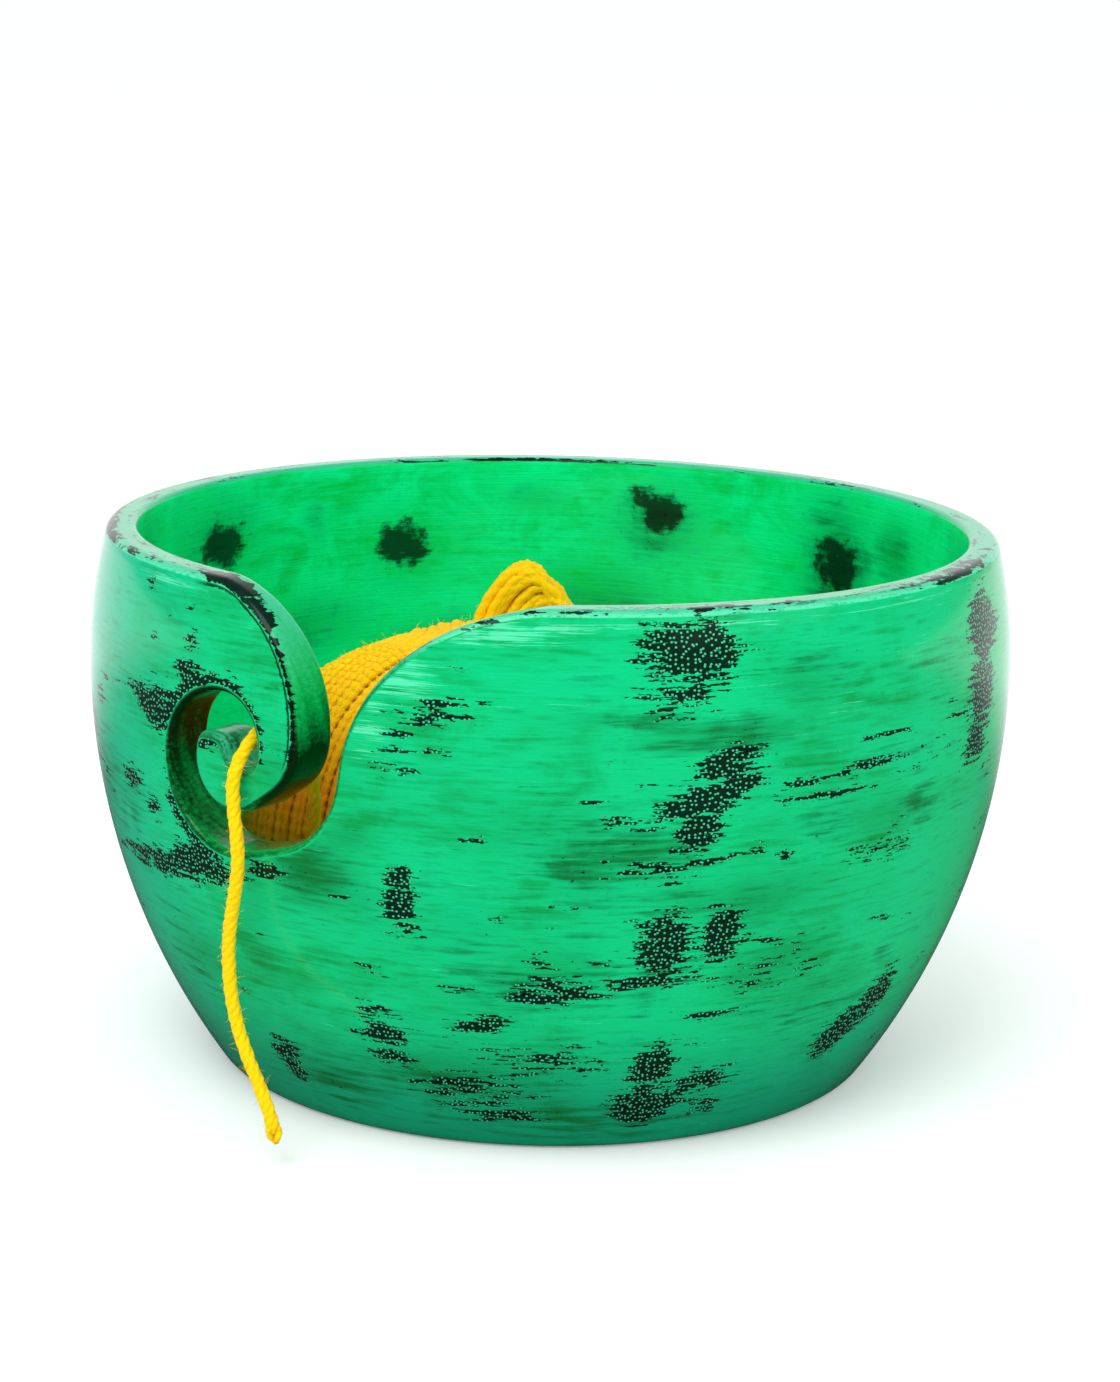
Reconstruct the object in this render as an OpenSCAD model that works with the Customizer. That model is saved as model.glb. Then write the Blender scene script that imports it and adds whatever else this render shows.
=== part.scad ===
// Yarn bowl: one turned wooden bowl with a spiral yarn slot, a hank of yarn lying in it
// and the hank's working strand, threaded through the slot and hanging down outside.
// Origin at the centre of the base, +Z up, the slot in the front wall, which faces -Y.

/* [Bowl] */
// Greatest outer diameter of the bowl
bowl_d = 178; // [170:1:190]
// Height of the bowl from its base to its rim
bowl_h = 104; // [98:1:112]
// Height of the widest place above the base
belly_h = 78; // [72:1:82]
// Radius of the wall's outer curve below the widest place
belly_low_r = 136; // [130:1:150]
// Radius of the wall's outer curve above the widest place
belly_top_r = 93; // [85:1:110]
// Radius of the rounding at the edge of the base
foot_r = 3; // [2:0.5:4]
// Thickness of the floor
floor_t = 10; // [8:0.5:12]
// Diameter of the opening at the rim
mouth_d = 159.2; // [157:0.2:161]
// Radius of the wall's inner curve below its straight top
inner_r = 142; // [138:1:150]
// Radius of the rounding between the floor and the inner wall
corner_r = 18; // [14:1:22]

/* [Yarn slot] */
// Width of the cut that the yarn runs in
slot_w = 7.3; // [6.5:0.1:8]
// Depth of the spiral's centre below the rim
spiral_drop = 34; // [33:0.5:36]
// Radius of the spiral's outer turn
turn_r = 14.6; // [14:0.1:15]
// Radius of the shoulder that rises from the slot to the rim
shoulder_r = 34.2; // [32:0.2:36]
// Radius of the hook's outer edge
hook_r = 24.2; // [23.6:0.1:24.8]
// Radius of the heel at the foot of the hook
heel_r = 13.3; // [13:0.1:13.6]
// Radius of the eye above the hook's tip
eye_r = 7.9; // [7.8:0.1:8]
// Radius of the pocket behind the tip, where the strand rests
pocket_r = 3.6; // [3.4:0.1:3.8]

/* [Yarn] */
// Diameter of the yarn
yarn_d = 2.6; // [2.2:0.1:2.8]
// Diameter of each half of the twisted hank
half_d = 36; // [34:1:37]
// Length of the hank's straight part
hank_l = 60; // [50:1:64]
// Turn of the two halves about each other, in degrees
hank_twist = 62; // [50:2:70]

/* [Hidden] */
$fn = 96;
big = 200;
belly_r = bowl_d / 2;
mouth_r = mouth_d / 2;

// Centres of the arcs of the wall's section, as [radius, height]
belly_low_c = [belly_r - belly_low_r, belly_h];
belly_top_c = [belly_r - belly_top_r, belly_h];
inner_c = [mouth_r - inner_r, bowl_h - 16];
foot_c = [belly_low_c.x + sqrt(pow(belly_low_r - foot_r, 2) - pow(belly_h - foot_r, 2)), foot_r];
corner_z = floor_t + corner_r;
corner_c = [inner_c.x + sqrt(pow(inner_r - corner_r, 2) - pow(inner_c.y - corner_z, 2)), corner_z];
// Heights at which a rounding meets the long arc beside it
foot_top = belly_h - belly_low_r * (belly_h - foot_r) / (belly_low_r - foot_r);
corner_top = inner_c.y - inner_r * (inner_c.y - corner_z) / (inner_r - corner_r);

// Centres of the arcs of the slot's outline, as [x, height], seen from the front
turn_c = [-5, bowl_h - spiral_drop];
low_r = turn_r + 2.4;
low_c = turn_c + [7.5, 4.5];
slot_right = low_c.x + low_r;
// The hook and the shoulder run out through the rim at a slight angle, a little above it
run_out = 0.3;
shoulder_c = [slot_right + shoulder_r, bowl_h - shoulder_r + run_out];
hook_c = [slot_right - slot_w - hook_r, bowl_h - hook_r + run_out];
heel_c = hook_c + (hook_r - heel_r) * [cos(8), -sin(8)];
curl_r = turn_r - slot_w + 1.6;
curl_c = turn_c + [1.6, 1.8];
eye_c = turn_c + [0.5, 6.5];
pocket_c = turn_c + [4.7, 5];
tip_z = turn_c.y + 7;
// The slot is cut along Y through the front wall, between these distances from the axis
cut_near = 45;
cut_far = 105;

// The hank: two halves twisted about a line along Y and joined by a fold behind the slot
half_r = half_d / 2;
helix_r = half_r + 0.3;
hank_c = [-13, -31.5, floor_t + 1 + half_r + helix_r];
half_steps = 14;
fold_steps = 8;
ring_sides = 20;
end_round = 0.28;
function spin(s) = 90 + hank_twist * s;
function half_point(s, side) =
    hank_c + [side * helix_r * cos(spin(s)), hank_l * s, side * helix_r * sin(spin(s))];
function half_out(s, side) = side * [cos(spin(s)), 0, sin(spin(s))];
function end_size(s) = s < 1 - end_round ? 1 : sqrt(max(0.06, 1 - pow((s - 1 + end_round) / end_round, 2)));
function fold_point(a) = hank_c + helix_r * [0, -sin(a), cos(a)];

hank_path = concat(
    [for (i = [half_steps:-1:0]) half_point(i / half_steps, 1)],
    [for (i = [1:fold_steps - 1]) fold_point(180 * i / fold_steps)],
    [for (i = [0:half_steps]) half_point(i / half_steps, -1)]);
hank_out = concat(
    [for (i = [half_steps:-1:0]) half_out(i / half_steps, 1)],
    [for (i = [1:fold_steps - 1]) [0, -sin(180 * i / fold_steps), cos(180 * i / fold_steps)]],
    [for (i = [0:half_steps]) half_out(i / half_steps, -1)]);
hank_size = concat(
    [for (i = [half_steps:-1:0]) half_r * end_size(i / half_steps)],
    [for (i = [1:fold_steps - 1]) half_r],
    [for (i = [0:half_steps]) half_r * end_size(i / half_steps)]);

// The hank's end loops stand up in an arch over its far end
loops_c = [-18, 18];
loops_half_w = 9;
loops_top_z = 92;
loops_foot_z = 71;
loop_tube_r = 5.5;

// The working strand's route: up the hank's front, through the pocket and down outside
strand_sides = 8;
strand_route = [
    [-2, -67, 50], [-1.8, -67.4, 55], [-1.2, -68.2, 60], [-0.2, -69.4, 65.2], [0.8, -71.2, 70.6],
    [1.5, -73.6, 75.4], [1.7, -76.3, 78.7], [1.5, -79.2, 80.1], [1.2, -82, 79.8], [0.8, -85, 78],
    [0.4, -87.6, 75.6],
    [0.1, -89.6, 73], [0, -90.8, 69.6], [0.3, -91, 65], [0.9, -91, 60], [0.9, -90.8, 55],
    [0, -90.6, 50], [-1.1, -90.4, 45], [-1.9, -90.2, 40], [-2, -90, 35], [-1.4, -90, 30],
    [0, -90, 25], [2, -90, 20.4], [4.4, -90, 16], [6.6, -90, 12], [8.2, -90, 8], [9, -90, 4.6]];

// Section of the solid outline of the bowl, right of its axis
module outside_2d() {
    difference() {
        union() {
            intersection() {
                translate(belly_low_c) circle(belly_low_r, $fn = 360);
                square([big, belly_h]);
            }
            intersection() {
                translate(belly_top_c) circle(belly_top_r, $fn = 360);
                translate([0, belly_h]) square([big, bowl_h - belly_h]);
            }
        }
        difference() {
            translate([foot_c.x, 0]) square([big, foot_top]);
            translate(foot_c) circle(foot_r);
        }
    }
}

// Section of the hollow of the bowl, right of its axis
module hollow_2d() {
    intersection() {
        translate(inner_c) circle(inner_r, $fn = 360);
        translate([0, corner_top]) square([big, inner_c.y - corner_top]);
    }
    translate([0, inner_c.y]) square([mouth_r, big]);
    translate([0, floor_t]) square([corner_c.x, inner_c.y - floor_t]);
    translate(corner_c) circle(corner_r);
}

// Two circles and the straight flanks that touch both
module joined_circles(c1, r1, c2, r2) {
    d = c2 - c1;
    a = atan2(d.y, d.x);
    g = acos((r1 - r2) / norm(d));
    translate(c1) circle(r1);
    translate(c2) circle(r2);
    polygon([
        c1 + r1 * [cos(a + g), sin(a + g)], c1 + r1 * [cos(a - g), sin(a - g)],
        c2 + r2 * [cos(a - g), sin(a - g)], c2 + r2 * [cos(a + g), sin(a + g)]]);
}

module clip_2d(low, high) {
    intersection() {
        children();
        translate(low) square(high - low);
    }
}

// Outline of the wood that the slot leaves standing as the hook and its curled tip
module hook_2d() {
    clip_2d([-big, tip_z], [big, big]) translate(hook_c) circle(hook_r);
    translate(curl_c) circle(curl_r);
    clip_2d([curl_c.x, 0], [big, tip_z + 1]) joined_circles(curl_c, curl_r, heel_c, heel_r);
}

// Outline of the slot: mouth, throat, outer turn, eye and pocket
module slot_2d() {
    difference() {
        union() {
            joined_circles(turn_c, turn_r, low_c, low_r);
            translate([hook_c.x, tip_z]) square([shoulder_c.x - hook_c.x, big]);
            translate(low_c) square([low_r, tip_z - low_c.y]);
        }
        translate(shoulder_c) circle(shoulder_r);
        hook_2d();
    }
    clip_2d([-big, tip_z], [turn_c.x, big]) translate(turn_c) circle(turn_r);
    clip_2d([-big, tip_z], [big, big]) translate(eye_c) circle(eye_r);
    translate(pocket_c) circle(pocket_r);
    translate([pocket_c.x - pocket_r, pocket_c.y]) square([2 * pocket_r, tip_z + 0.5 - pocket_c.y]);
}

module bowl() {
    color("mediumseagreen") difference() {
        rotate_extrude($fn = 180) difference() {
            outside_2d();
            hollow_2d();
        }
        rotate([90, 0, 0]) translate([0, 0, cut_near]) linear_extrude(cut_far - cut_near) slot_2d();
    }
}

function unit(v) = v / norm(v);
function tangent(path, i) =
    unit(path[min(i + 1, len(path) - 1)] - path[max(i - 1, 0)]);

// A closed tube along a path; out is a direction to each ring's first side, size its radius
module tube(path, out, size, sides) {
    n = len(path);
    rings = [for (i = [0:n - 1])
        let (t = tangent(path, i), u = unit(out[i] - (out[i] * t) * t), v = cross(t, u))
        for (k = [0:sides - 1])
            path[i] + size[i] * (cos(360 * k / sides) * u + sin(360 * k / sides) * v)];
    walls = [for (i = [0:n - 2], k = [0:sides - 1])
        let (k2 = (k + 1) % sides)
        [i * sides + k, (i + 1) * sides + k, (i + 1) * sides + k2, i * sides + k2]];
    ends = [
        [for (k = [0:sides - 1]) k],
        [for (k = [sides - 1:-1:0]) (n - 1) * sides + k]];
    polyhedron(points = rings, faces = concat(walls, ends), convexity = 6);
}

module yarn_hank() {
    color("gold") tube(hank_path, hank_out, hank_size, ring_sides);
}

module hank_end_loops() {
    top = loops_top_z - loop_tube_r;
    color("orange") translate([loops_c.x, loops_c.y, 0]) rotate([0, 0, 37]) hull() {
        translate([0, 0, top]) sphere(loop_tube_r, $fn = 24);
        for (side = [-1, 1])
            translate([side * loops_half_w, 0, loops_foot_z]) sphere(loop_tube_r, $fn = 24);
    }
}

module working_strand() {
    n = len(strand_route);
    out = [for (i = [0:n - 1]) [1, 0, 0]];
    size = [for (i = [0:n - 1]) yarn_d / 2];
    color("gold") tube(strand_route, out, size, strand_sides);
}

bowl();
yarn_hank();
hank_end_loops();
working_strand();
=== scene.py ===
"""Looks of the yarn bowl: a turned, green-stained and lacquered bowl with a spiral slot,
a twisted hank of golden yarn lying in it, and the hank's working strand.
Lengths are in millimetres until a mesh is made; a mesh is in metres, in the CAD's frame.
An azimuth is in degrees about the bowl's axis, from the slot's side (-Y) towards +X."""

import math

import bmesh
import bpy
import numpy as np
from mathutils import Matrix, Vector
from mathutils.geometry import delaunay_2d_cdt


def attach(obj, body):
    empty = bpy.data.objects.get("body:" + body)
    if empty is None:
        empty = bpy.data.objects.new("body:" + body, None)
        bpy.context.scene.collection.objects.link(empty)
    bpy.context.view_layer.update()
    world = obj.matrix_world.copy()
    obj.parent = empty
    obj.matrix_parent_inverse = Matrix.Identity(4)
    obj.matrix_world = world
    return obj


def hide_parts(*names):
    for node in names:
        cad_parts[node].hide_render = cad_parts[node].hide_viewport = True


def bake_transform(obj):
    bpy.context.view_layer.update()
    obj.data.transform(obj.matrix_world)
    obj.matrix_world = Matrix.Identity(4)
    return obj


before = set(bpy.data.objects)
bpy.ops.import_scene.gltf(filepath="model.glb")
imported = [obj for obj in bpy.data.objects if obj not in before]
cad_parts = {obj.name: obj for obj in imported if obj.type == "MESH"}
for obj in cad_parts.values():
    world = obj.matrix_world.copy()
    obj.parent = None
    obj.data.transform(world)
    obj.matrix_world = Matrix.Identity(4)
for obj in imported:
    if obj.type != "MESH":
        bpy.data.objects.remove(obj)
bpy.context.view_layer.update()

MM = 0.001
SEED = 7
scene = bpy.context.scene

# ---- camera

# Fitted to the photograph's outlines; angles are in degrees
VIEW_AZIMUTH = 36.9
VIEW_DROP = 15.37
VIEW_ROLL = 1.26
CAMERA_AT = Vector((0.3612, -0.4800, 0.2094))
CAMERA_LENS = 81.9
CAMERA_SHIFT = (0.0072, 0.0933)


def direction(azimuth, elevation):
    """The way out from the bowl to an azimuth and an elevation."""
    a, e = math.radians(azimuth), math.radians(elevation)
    return Vector((math.sin(a) * math.cos(e), -math.cos(a) * math.cos(e), math.sin(e)))


def make_camera():
    back = direction(VIEW_AZIMUTH, VIEW_DROP)
    right = direction(VIEW_AZIMUTH + 90, 0)
    up = back.cross(right)
    roll = math.radians(VIEW_ROLL)
    across = math.cos(roll) * right + math.sin(roll) * up
    along = -math.sin(roll) * right + math.cos(roll) * up
    data = bpy.data.cameras.new("camera")
    data.lens = CAMERA_LENS
    data.sensor_width = 36
    data.shift_x, data.shift_y = CAMERA_SHIFT
    camera = bpy.data.objects.new("camera", data)
    rotation = Matrix((across, along, back)).transposed().to_4x4()
    camera.matrix_world = Matrix.Translation(CAMERA_AT) @ rotation
    scene.collection.objects.link(camera)
    scene.camera = camera


make_camera()

# ---- mesh helpers


def add_attributes(mesh, attributes):
    """Attributes of a mesh, each with one value a point."""
    for key, values in attributes.items():
        layer = mesh.attributes.new(key, "FLOAT", "POINT")
        layer.data.foreach_set("value", np.asarray(values, np.float32))


def make_mesh(name, points, faces, attributes):
    """A mesh object from points in millimetres."""
    mesh = bpy.data.meshes.new(name)
    mesh.from_pydata((np.asarray(points) * MM).tolist(), [], faces)
    add_attributes(mesh, attributes)
    mesh.polygons.foreach_set("use_smooth", [True] * len(mesh.polygons))
    mesh.update()
    obj = bpy.data.objects.new(name, mesh)
    scene.collection.objects.link(obj)
    return obj


def finished(obj, body, material):
    """Gives a piece its material and the body that it moves with."""
    obj.data.materials.append(material)
    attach(obj, body)
    return obj


def unit(v):
    return v / np.maximum(np.linalg.norm(v, axis=-1, keepdims=True), 1e-9)


def smoothstep(low, high, x):
    """A smooth rise from 0 at low to 1 at high."""
    t = np.clip((np.asarray(x, float) - low) / (high - low), 0, 1)
    return t * t * (3 - 2 * t)


def resample(points, step):
    """Points at even distances along a polyline."""
    points = np.asarray(points, float)
    along = np.concatenate([[0], np.cumsum(np.linalg.norm(np.diff(points, axis=0), axis=1))])
    count = max(2, int(round(along[-1] / step)) + 1)
    at = np.linspace(0, along[-1], count)
    return np.column_stack([np.interp(at, along, points[:, k]) for k in range(points.shape[1])])


def smooth_curve(points, step, times=6):
    """A smooth curve through given points, resampled at step."""
    p = np.asarray(points, float)
    ends = np.vstack([2 * p[0] - p[1], p, 2 * p[-1] - p[-2]])
    fine = []
    for i in range(len(p) - 1):
        a, b, c, d = ends[i:i + 4]
        for t in np.linspace(0, 1, times, endpoint=False):
            fine.append(0.5 * (2 * b + (c - a) * t + (2 * a - 5 * b + 4 * c - d) * t ** 2
                               + (3 * b - a - 3 * c + d) * t ** 3))
    fine.append(p[-1])
    return resample(fine, step)


def carried_frames(path):
    """Tangents of a path and two normals carried along it without spin."""
    tangents = unit(np.gradient(path, axis=0))
    side = np.cross(tangents[0], [0, 0, 1])
    if np.linalg.norm(side) < 0.1:
        side = np.cross(tangents[0], [1, 0, 0])
    sides = [unit(side)]
    for t in tangents[1:]:
        s = sides[-1] - np.dot(sides[-1], t) * t
        sides.append(s / np.linalg.norm(s))
    sides = np.array(sides)
    return tangents, sides, np.cross(tangents, sides)


def quads(rings, count, start=0):
    """Quads between rings of count points, which lie one after another from start."""
    k = np.arange(count)
    k2 = (k + 1) % count
    faces = []
    for i in range(rings - 1):
        a = start + i * count
        b = a + count
        faces += np.column_stack([a + k, a + k2, b + k2, b + k]).tolist()
    return faces


class TubeMesh:
    """Collects many tubes into one mesh."""

    def __init__(self):
        self.points, self.faces, self.crest, self.tint = [], [], [], []
        self.count = 0

    def add(self, path, radius, sides=8, plies=0, depth=0.0, pitch=8.0, phase=0.0, tint=0.5):
        """Adds a tube; with plies its section has that many lobes, which twist along it."""
        path = np.asarray(path, float)
        n = len(path)
        radius = np.broadcast_to(np.asarray(radius, float), (n,))
        _, u, v = carried_frames(path)
        along = np.concatenate([[0], np.cumsum(np.linalg.norm(np.diff(path, axis=0), axis=1))])
        turn = phase + 2 * np.pi * along / pitch
        angle = np.linspace(0, 2 * np.pi, sides, endpoint=False)[None, :] + turn[:, None]
        crest = np.cos(plies * (angle - turn[:, None])) if plies else np.ones_like(angle)
        r = radius[:, None] * (1 - depth + depth * crest)
        ring = (path[:, None, :] + r[..., None] * (np.cos(angle)[..., None] * u[:, None, :]
                                                   + np.sin(angle)[..., None] * v[:, None, :]))
        self.points.append(ring.reshape(-1, 3))
        k = np.arange(sides)
        last = self.count + (n - 1) * sides
        caps = [(self.count + k[::-1]).tolist(), (last + k).tolist()]
        self.faces += quads(n, sides, self.count) + caps
        self.crest.append(crest.reshape(-1))
        self.tint.append(np.full(n * sides, tint))
        self.count += n * sides

    def build(self, name):
        return make_mesh(name, np.vstack(self.points), self.faces,
                         {"crest": np.concatenate(self.crest), "tint": np.concatenate(self.tint)})


# ---- shader helpers


def srgb(r, g, b):
    """A display colour, 0 to 255, as a linear colour for a shader."""
    def linear(c):
        c = c / 255
        return c / 12.92 if c <= 0.04045 else ((c + 0.055) / 1.055) ** 2.4
    return (linear(r), linear(g), linear(b), 1)


class Value:
    """A node's output; + and * between outputs and numbers make further nodes."""

    def __init__(self, nodes, socket):
        self.nodes = nodes
        self.socket = socket

    def __add__(self, other):
        return self.nodes.math("ADD", self, other)

    def __mul__(self, other):
        return self.nodes.math("MULTIPLY", self, other)

    __radd__ = __add__
    __rmul__ = __mul__


class Nodes:
    """Short calls that add nodes to one tree; each call returns an output as a Value."""

    def __init__(self, tree):
        self.tree = tree

    def put(self, socket, value):
        if isinstance(value, Value):
            self.tree.links.new(value.socket, socket)
        else:
            socket.default_value = value

    def made(self, kind, inputs=None, output=0, **settings):
        """A new node's output; inputs maps an input's name or place to a number or a Value."""
        node = self.tree.nodes.new(kind)
        for key, value in settings.items():
            setattr(node, key, value)
        for key, value in (inputs or {}).items():
            self.put(node.inputs[key], value)
        return Value(self, node.outputs[output])

    def math(self, operation, a, b, clamp=False):
        return self.made("ShaderNodeMath", {0: a, 1: b}, operation=operation, use_clamp=clamp)

    def step(self, value, low, high, out_low=0.0, out_high=1.0):
        """A smooth rise from out_low at low to out_high at high."""
        inputs = dict(enumerate((value, low, high, out_low, out_high)))
        return self.made("ShaderNodeMapRange", inputs, interpolation_type="SMOOTHSTEP")

    def mix(self, share, a, b, data_type="RGBA"):
        """From a at share 0 to b at share 1: colours, or numbers with the data type FLOAT."""
        inputs = {"Factor": share, "A": a, "B": b}
        return self.made("ShaderNodeMix", inputs, "Result", data_type=data_type)

    def attribute(self, name):
        return self.made("ShaderNodeAttribute", output="Fac", attribute_name=name)

    def place(self, kind):
        return self.made("ShaderNodeTexCoord", output=kind)

    def rays(self, kind):
        """1 for rays of this kind, 0 for others."""
        return self.made("ShaderNodeLightPath", output=kind)

    def dot(self, vector, way):
        return self.made("ShaderNodeVectorMath", {0: vector, 1: way}, "Value",
                         operation="DOT_PRODUCT")

    def join(self, x, y, z=0.0):
        return self.made("ShaderNodeCombineXYZ", {0: x, 1: y, 2: z})

    def parts(self, vector):
        made = self.made("ShaderNodeSeparateXYZ", {0: vector})
        return [Value(self, socket) for socket in made.socket.node.outputs]


class Shader(Nodes):
    """A material's nodes."""

    def __init__(self, name):
        self.material = bpy.data.materials.new(name)
        self.material.use_nodes = True
        super().__init__(self.material.node_tree)
        self.at = self.place("Object")

    def surface(self, inputs):
        """Sets or links inputs of the material's surface."""
        for name, value in inputs.items():
            self.put(self.tree.nodes["Principled BSDF"].inputs[name], value)

    def noise(self, where, detail=2.0, roughness=0.5, distortion=0.0):
        """Noise about zero, mostly from -0.5 to 0.5; where is a Value with one feature a unit,
        or how many features there are a metre along X, Y and Z."""
        if not isinstance(where, Value):
            where = self.made("ShaderNodeVectorMath", {0: self.at, 1: where}, operation="MULTIPLY")
        inputs = {"Vector": where, "Scale": 1.0, "Detail": detail, "Roughness": roughness,
                  "Distortion": distortion}
        return self.made("ShaderNodeTexNoise", inputs, "Fac") + -0.5

    def bump(self, height, strength):
        inputs = {"Strength": strength, "Distance": BUMP_DEPTH, "Height": height}
        return self.made("ShaderNodeBump", inputs, "Normal")


BUMP_DEPTH = 0.0004  # metres

# ---- yarn

# Where the yarn's painted shade, a deeper colour, sets in, in metres: from a height down to a
# lower one, and along Y over the front of the hank only; and the colour of that painted shade
LOW_SHADE_Z = (0.083, 0.058)
LOW_SHADE_BACK = (-0.028, -0.046)
LOW_SHADE_FRONT = (-0.084, -0.076)
PAINTED_SHADE_YELLOW = srgb(255, 150, 0)


def yarn_material(name, bright, deep, shade, low):
    """Soft plied yarn: bright on the crests of the plies and deeper between them, which is
    painted shade in the grooves, with fine fibres; low is the colour of the painted shade low
    down at the front of the hank."""
    s = Shader(name)
    fibres = s.noise((2600, 2600, 1500), 3, 0.7)
    mottle = s.noise((260, 260, 260))
    # Deeper colour between the plies' crests: painted shade in the grooves
    level = s.step(s.attribute("crest"), -1.3, 0.4) + fibres * 0.8 + mottle * 0.8
    colour = s.mix(s.step(level, -0.1, 0.9), deep, bright)
    colour = s.mix(s.step(s.attribute("tint"), 0.0, 1.0, 0.0, 0.45), colour, shade)
    _, y, z = s.parts(s.at)
    # Painted shade: a deeper colour low down at the front of the hank
    shaded_front = s.step(y, *LOW_SHADE_FRONT) * s.step(y, *LOW_SHADE_BACK)
    colour = s.mix(s.step(z + mottle * 0.01, *LOW_SHADE_Z) * shaded_front, colour, low)
    s.surface({"Base Color": colour, "Roughness": s.step(fibres, -0.4, 0.4, 0.7, 0.95),
               "Specular IOR Level": 0.15, "Sheen Weight": 0.25, "Sheen Roughness": 0.5,
               "Sheen Tint": srgb(255, 220, 120), "Normal": s.bump(fibres, 0.6)})
    return s.material


def fuzz(name, roots, outward, lengths, rng, material, body, thickness=0.035):
    """Short loose fibres: thin bent tubes that stand out of the yarn at the root points."""
    tubes = TubeMesh()
    for root, out, length in zip(roots, outward, lengths):
        lean = unit(out + 0.9 * rng.normal(size=3))
        curl = unit(lean + 0.9 * rng.normal(size=3))
        t = np.linspace(0, 1, 5)[:, None]
        path = root + length * (t * lean + 0.5 * t * t * curl)
        tubes.add(path, thickness * np.linspace(1, 0.5, 5), sides=3)
    return finished(tubes.build(name), body, material)


YARN_D = 2.6
YARN_PITCH = 6.5  # length of yarn for a turn of its two plies
YARN_DEPTH = 0.05  # how deep the grooves between plies are, as a share of the radius
HAIR_ROOT = 1.1  # from a strand's middle to where its loose fibres start
STRAND_HAIRS = 260
OUTSIDE_Y = -84  # in front of this the strand hangs outside the bowl
STRAND_STEP = 0.4
# From the hank through the slot's pocket and down the outside of the bowl
STRAND_ROUTE = [
    (-2, -67, 50), (-1.8, -67.4, 55), (-1.2, -68.2, 60), (-0.2, -69.4, 65.2), (0.8, -71.2, 70.6),
    (1.5, -73.6, 75.4), (1.7, -76.3, 78.7), (1.5, -79.2, 80.1), (1.2, -82, 79.8), (0.8, -85, 78),
    (0.4, -87.6, 75.6), (0.1, -89.6, 73), (0, -90.8, 69.6), (0.3, -91, 65), (0.9, -91, 60),
    (0.9, -90.8, 55), (0, -90.6, 50), (-1.1, -90.4, 45), (-1.9, -90.2, 40), (-2, -90, 35), (-1.4, -90, 30),
    (0, -90, 25), (2, -90, 20.4), (4.4, -90, 16), (6.6, -90, 12), (8.2, -90, 8), (9, -90, 4.6)]
STRAND_PITCH = 9.6  # length of the strand for a turn of its plies
STRAND_PLIES = 4
STRAND_PLY_R = 0.8
STRAND_HELIX_R = 0.5
STRAND_OPENS = 6  # length at the cut end over which the plies spread
PLY_CUTS = (0, 3, 1, 5)  # steps by which each ply is shorter than the longest


def make_strand(material):
    """The working strand: four plies laid round each other, a little loose at the cut end."""
    path = smooth_curve(STRAND_ROUTE, STRAND_STEP)
    along = np.linspace(0, STRAND_STEP * (len(path) - 1), len(path))
    total = along[-1]
    _, u, v = carried_frames(path)
    to_end = total - along
    reach = STRAND_HELIX_R * (1 + 0.75 * smoothstep(STRAND_OPENS, 0, to_end))
    # The lay and each ply's thickness are a little uneven, and each ply thins at its end
    wander = 0.08 * np.sin(along / 3.1) + 0.06 * np.sin(along / 1.7 + 1)
    tubes = TubeMesh()
    for ply in range(STRAND_PLIES):
        turn = 2 * np.pi * (along / STRAND_PITCH + ply / STRAND_PLIES) + wander
        line = path + reach[:, None] * (np.cos(turn)[:, None] * u + np.sin(turn)[:, None] * v)
        keep = len(path) - PLY_CUTS[ply]
        thick = STRAND_PLY_R * (1 + 0.07 * np.sin(along / 1.9 + 2 * ply))
        thick = thick * (1 - 0.45 * smoothstep(1.6, 0, to_end - to_end[keep - 1]))
        tubes.add(line[:keep], thick[:keep], plies=2, depth=YARN_DEPTH, pitch=3.1, phase=ply,
                  tint=0.12)
    strand = tubes.build("strand")
    strand.data.materials.append(material)
    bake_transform(strand)
    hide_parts("working_strand")
    rng = np.random.default_rng(SEED)
    outside = np.flatnonzero(path[:, 1] < OUTSIDE_Y)
    picks = rng.choice(outside[:-4], STRAND_HAIRS)
    angle = rng.uniform(0, 2 * np.pi, len(picks))
    out = np.cos(angle)[:, None] * u[picks] + np.sin(angle)[:, None] * v[picks]
    hairs = fuzz("strand_fuzz", path[picks] + HAIR_ROOT * out, out, rng.uniform(0.4, 1.4, len(picks)),
                 rng, material, "bowl")


# The hank lies along Y: two halves, side by side, from the fold at HANK_AT to the far ends
HANK_HALF_R = 18
HANK_HELIX_R = 18.3  # from the hank's middle line to the middle of a half
HANK_AT = np.array([-13.0, -31.5, 47.3])
HANK_LENGTH = 60
HANK_TWIST = 62  # degrees from the fold to the far ends
HANK_EASE = 0.3  # share of each half over which the twist sets in
HANK_END_ROUND = 0.28  # share of each half over which its far end closes
HANK_HAIRS = 1300
SURFACE_STRANDS = 66
SURFACE_STRAND_R = 1.15
SURFACE_STEP = 1.15


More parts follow.
